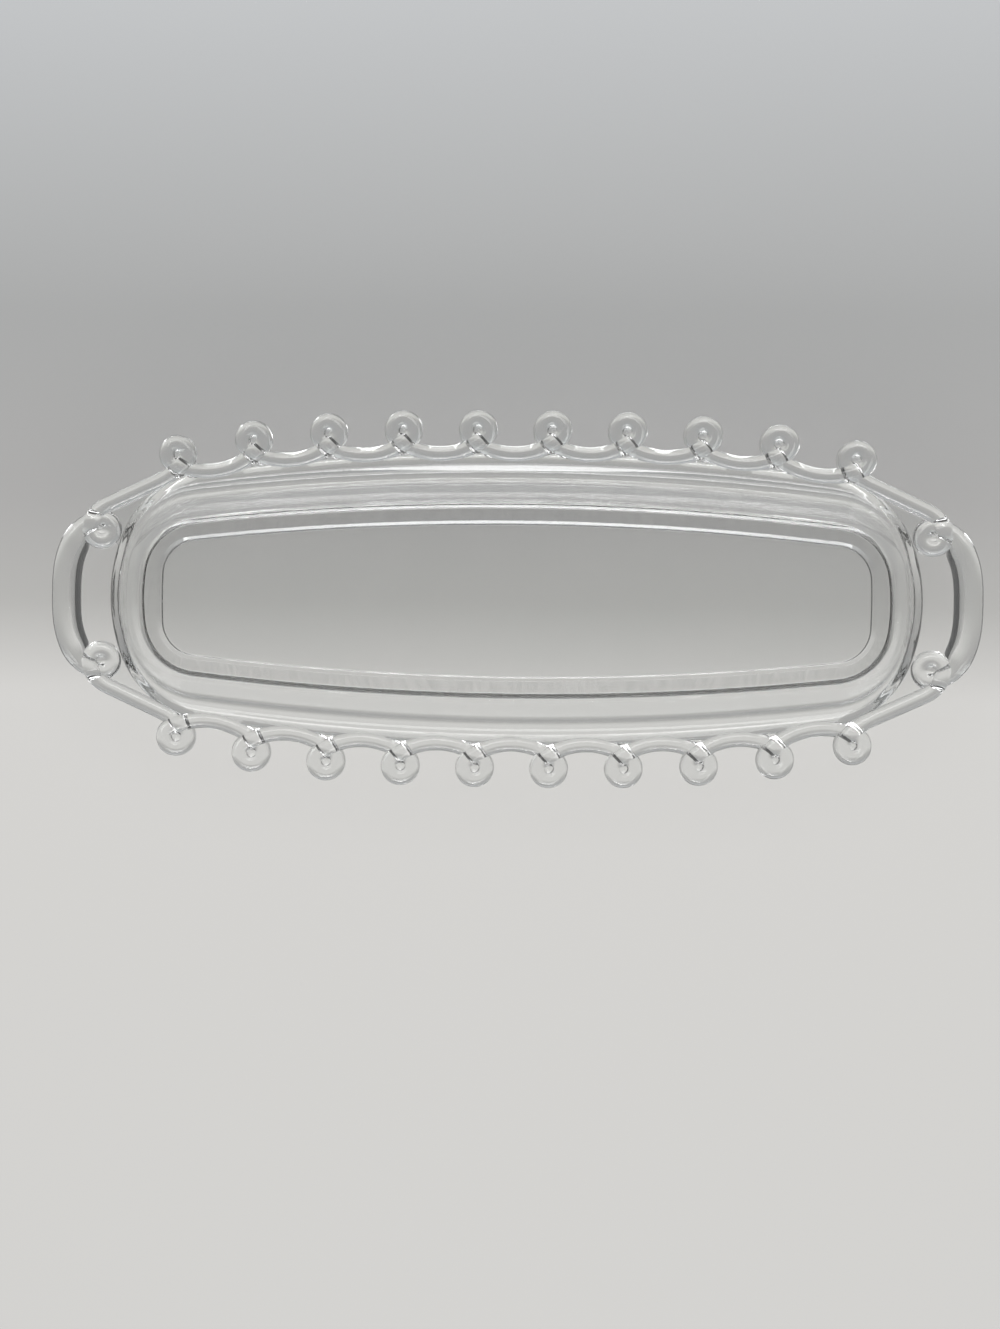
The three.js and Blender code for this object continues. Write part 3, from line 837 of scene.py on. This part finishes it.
# %% [markdown]
# ## The floor
# Glass shows what is behind it and little else, so the ground is half of the picture. The tray could
# stand on the paper itself, but the round rope bends light far to the side, and only a ground that
# is far away changes enough over that reach to model the rope. So the tray stands on a clear sheet,
# slightly frosted, that carries its shadow and looks more solid at a slant. Well below it lies a pale
# paper that glows by itself, and its glow carries painted light and shade: it is darker behind the
# tray than before it, with a brighter band just before it, and turns to one plain tone farther off.

# %% Sheet
SHEET_SIZE = 2.4  # metres, like every length of the stage
SHEET_TONE = (0.6, 0.595, 0.58)
SHADOW_SHARE, SLANTED_SHARE = 0.2, 0.9  # how solid the sheet is, from above and at a slant
SLANT_LOW, SLANT_HIGH = 0.1, 0.7  # of 0 from straight above to 1 along the sheet
SHEET_NEAR, SHEET_FAR = 0.25, 1.1  # between these distances it fades out


def stage_plane(name, size, height):
    """A level square on the stage, half a size each way from the middle. Gives its material's bench."""
    half = size / 2
    corners = [(x * half, y * half, height) for x, y in ((-1, -1), (1, -1), (1, 1), (-1, 1))]
    mesh = bpy.data.meshes.new(name)
    mesh.from_pydata(corners, [], [(0, 1, 2, 3)])
    plane = new_object(name, mesh)
    material = bpy.data.materials.new(name)
    mesh.materials.append(material)
    return Bench(material)


bench = stage_plane("sheet", SHEET_SIZE, 0)
place = bench.node("ShaderNodeTexCoord", output="Object")
far_off = bench.rise(bench.length(place), SHEET_NEAR, SHEET_FAR)
facing = bench.node("ShaderNodeLayerWeight", output="Facing")
slanted = bench.rise(facing, SLANT_LOW, SLANT_HIGH)
solid = (1 - far_off) * (SHADOW_SHARE + (SLANTED_SHARE - SHADOW_SHARE) * slanted)
clear = bench.node("ShaderNodeBsdfTransparent")
matt = bench.node("ShaderNodeBsdfDiffuse", None, {"Color": (*SHEET_TONE, 1)})
mixed = bench.node("ShaderNodeMixShader", None, {0: solid, 1: clear, 2: matt})
bench.node("ShaderNodeOutputMaterial", None, {"Surface": mixed})
print("sheet:", SHEET_SIZE, "m square")

# %% Paper
PAPER_SIZE, PAPER_DEPTH = 40.0, 0.4
TONE_REACH = 1.0  # the tones run from this far before the tray to as far behind it
# painted light and shade in the paper's glow: a bright band before the tray, a dark band behind it
PAPER_PAINTED_LIGHT_AND_SHADE = [
    (0.0, (0.66, 0.655, 0.64)),
    (0.475, (0.74, 0.73, 0.71)),
    (0.505, (0.5, 0.495, 0.48)),
    (0.54, (0.44, 0.435, 0.43)),
    (0.6, (0.42, 0.425, 0.425)),
    (0.7, (0.6, 0.615, 0.63)),
]
FAR_TONE = (0.52, 0.52, 0.515)
PLAIN_NEAR, PLAIN_FAR = 0.7, 1.5  # between these distances the tones give way to the plain one

bench = stage_plane("paper", PAPER_SIZE, -PAPER_DEPTH)
place = bench.node("ShaderNodeTexCoord", output="Object")
tone_share = 0.5 + (0.5 / TONE_REACH) * bench.axis(place, "Y")
shade = bench.tones(tone_share, PAPER_PAINTED_LIGHT_AND_SHADE)
far_off = bench.rise(bench.length(place), PLAIN_NEAR, PLAIN_FAR)
plain = bench.node(
    "ShaderNodeMix",
    {"data_type": "RGBA"},
    {"Factor": far_off, "A": shade, "B": (*FAR_TONE, 1)},
    output="Result",
)
glow = bench.node("ShaderNodeEmission", None, {"Color": plain, "Strength": 1.0})
bench.node("ShaderNodeOutputMaterial", None, {"Surface": glow})
print("paper:", PAPER_SIZE, "m square,", PAPER_DEPTH, "m below the tray")

# %% [markdown]
# ## Air and lamps
# A room of even light would leave glass without edges. So the air is dark overhead and grows paler
# down to the horizon, where it meets the far paper in one tone. Three long softboxes light the tray.
# Small lamps would leave only sparks, and plain boxes would be mirrored with hard ends, so each fades
# towards both ends. The camera doesn't see them.

# %% Air
AIR_TONES = [  # by height: level with the tray 0, straight up 1
    (0.0, FAR_TONE),
    (0.1, (0.3, 0.3, 0.3)),
    (0.2, (0.17, 0.17, 0.17)),
    (0.6, (0.1, 0.1, 0.1)),
    (1.0, (0.06, 0.06, 0.06)),
]

world = bpy.data.worlds.new("studio")
bpy.context.scene.world = world
bench = Bench(world)
direction = bench.node("ShaderNodeTexCoord", output="Generated")
air = bench.tones(bench.axis(direction, "Z"), AIR_TONES)
background = bench.node("ShaderNodeBackground", None, {"Color": air, "Strength": 1.0})
bench.node("ShaderNodeOutputWorld", None, {"Surface": background})
print("air:", len(AIR_TONES), "tones")

# %% Lamps
LAMP_END = 0.4  # share of a lamp's length over which each end fades
DARK, BRIGHT = (0, 0, 0), (1, 1, 1)
LAMP_TONES = [(0.0, DARK), (LAMP_END, BRIGHT), (1 - LAMP_END, BRIGHT), (1.0, DARK)]


def softbox(name, place, size, watts):
    """A rectangular lamp at a place in metres, facing the tray, that fades out towards both ends."""
    lamp = bpy.data.lights.new(name, "AREA")
    lamp.shape, lamp.size, lamp.size_y, lamp.energy = "RECTANGLE", *size, watts
    box = new_object(name, lamp)
    box.location = place
    box.visible_camera = False
    box.rotation_euler = (-box.location).to_track_quat("-Z", "Y").to_euler()
    bench = Bench(lamp)
    on_lamp = bench.node("ShaderNodeNewGeometry", output="Parametric")
    fade = bench.tones(bench.axis(on_lamp, "X"), LAMP_TONES)
    glow = bench.node("ShaderNodeEmission", None, {"Color": fade, "Strength": 1.0})
    bench.node("ShaderNodeOutputLight", None, {"Surface": glow})


softbox("back_softbox", place=(0, 0.6, 0.7), size=(1.6, 0.3), watts=4.8)
softbox("front_softbox", place=(0, -0.7, 0.5), size=(1.8, 0.35), watts=6)
softbox("low_strip", place=(0, -0.95, 0.4), size=(1.1, 0.1), watts=4.1)
print("lamps:", len(bpy.data.lights))

# %% [markdown]
# ## The picture
# Light runs along inside the glass walls for many reflections before it finds a way out. With the
# usual limits such places would turn black, so a path may be reflected and bent more often. The view
# transform is the plain one, which leaves the colours as they are written.

# %% Bounces and view
GLASS_BOUNCES = 32

cycles = bpy.context.scene.cycles
cycles.max_bounces = GLASS_BOUNCES
cycles.glossy_bounces = GLASS_BOUNCES
cycles.transmission_bounces = GLASS_BOUNCES
bpy.context.scene.view_settings.view_transform = "Standard"
print("bounces:", cycles.transmission_bounces)
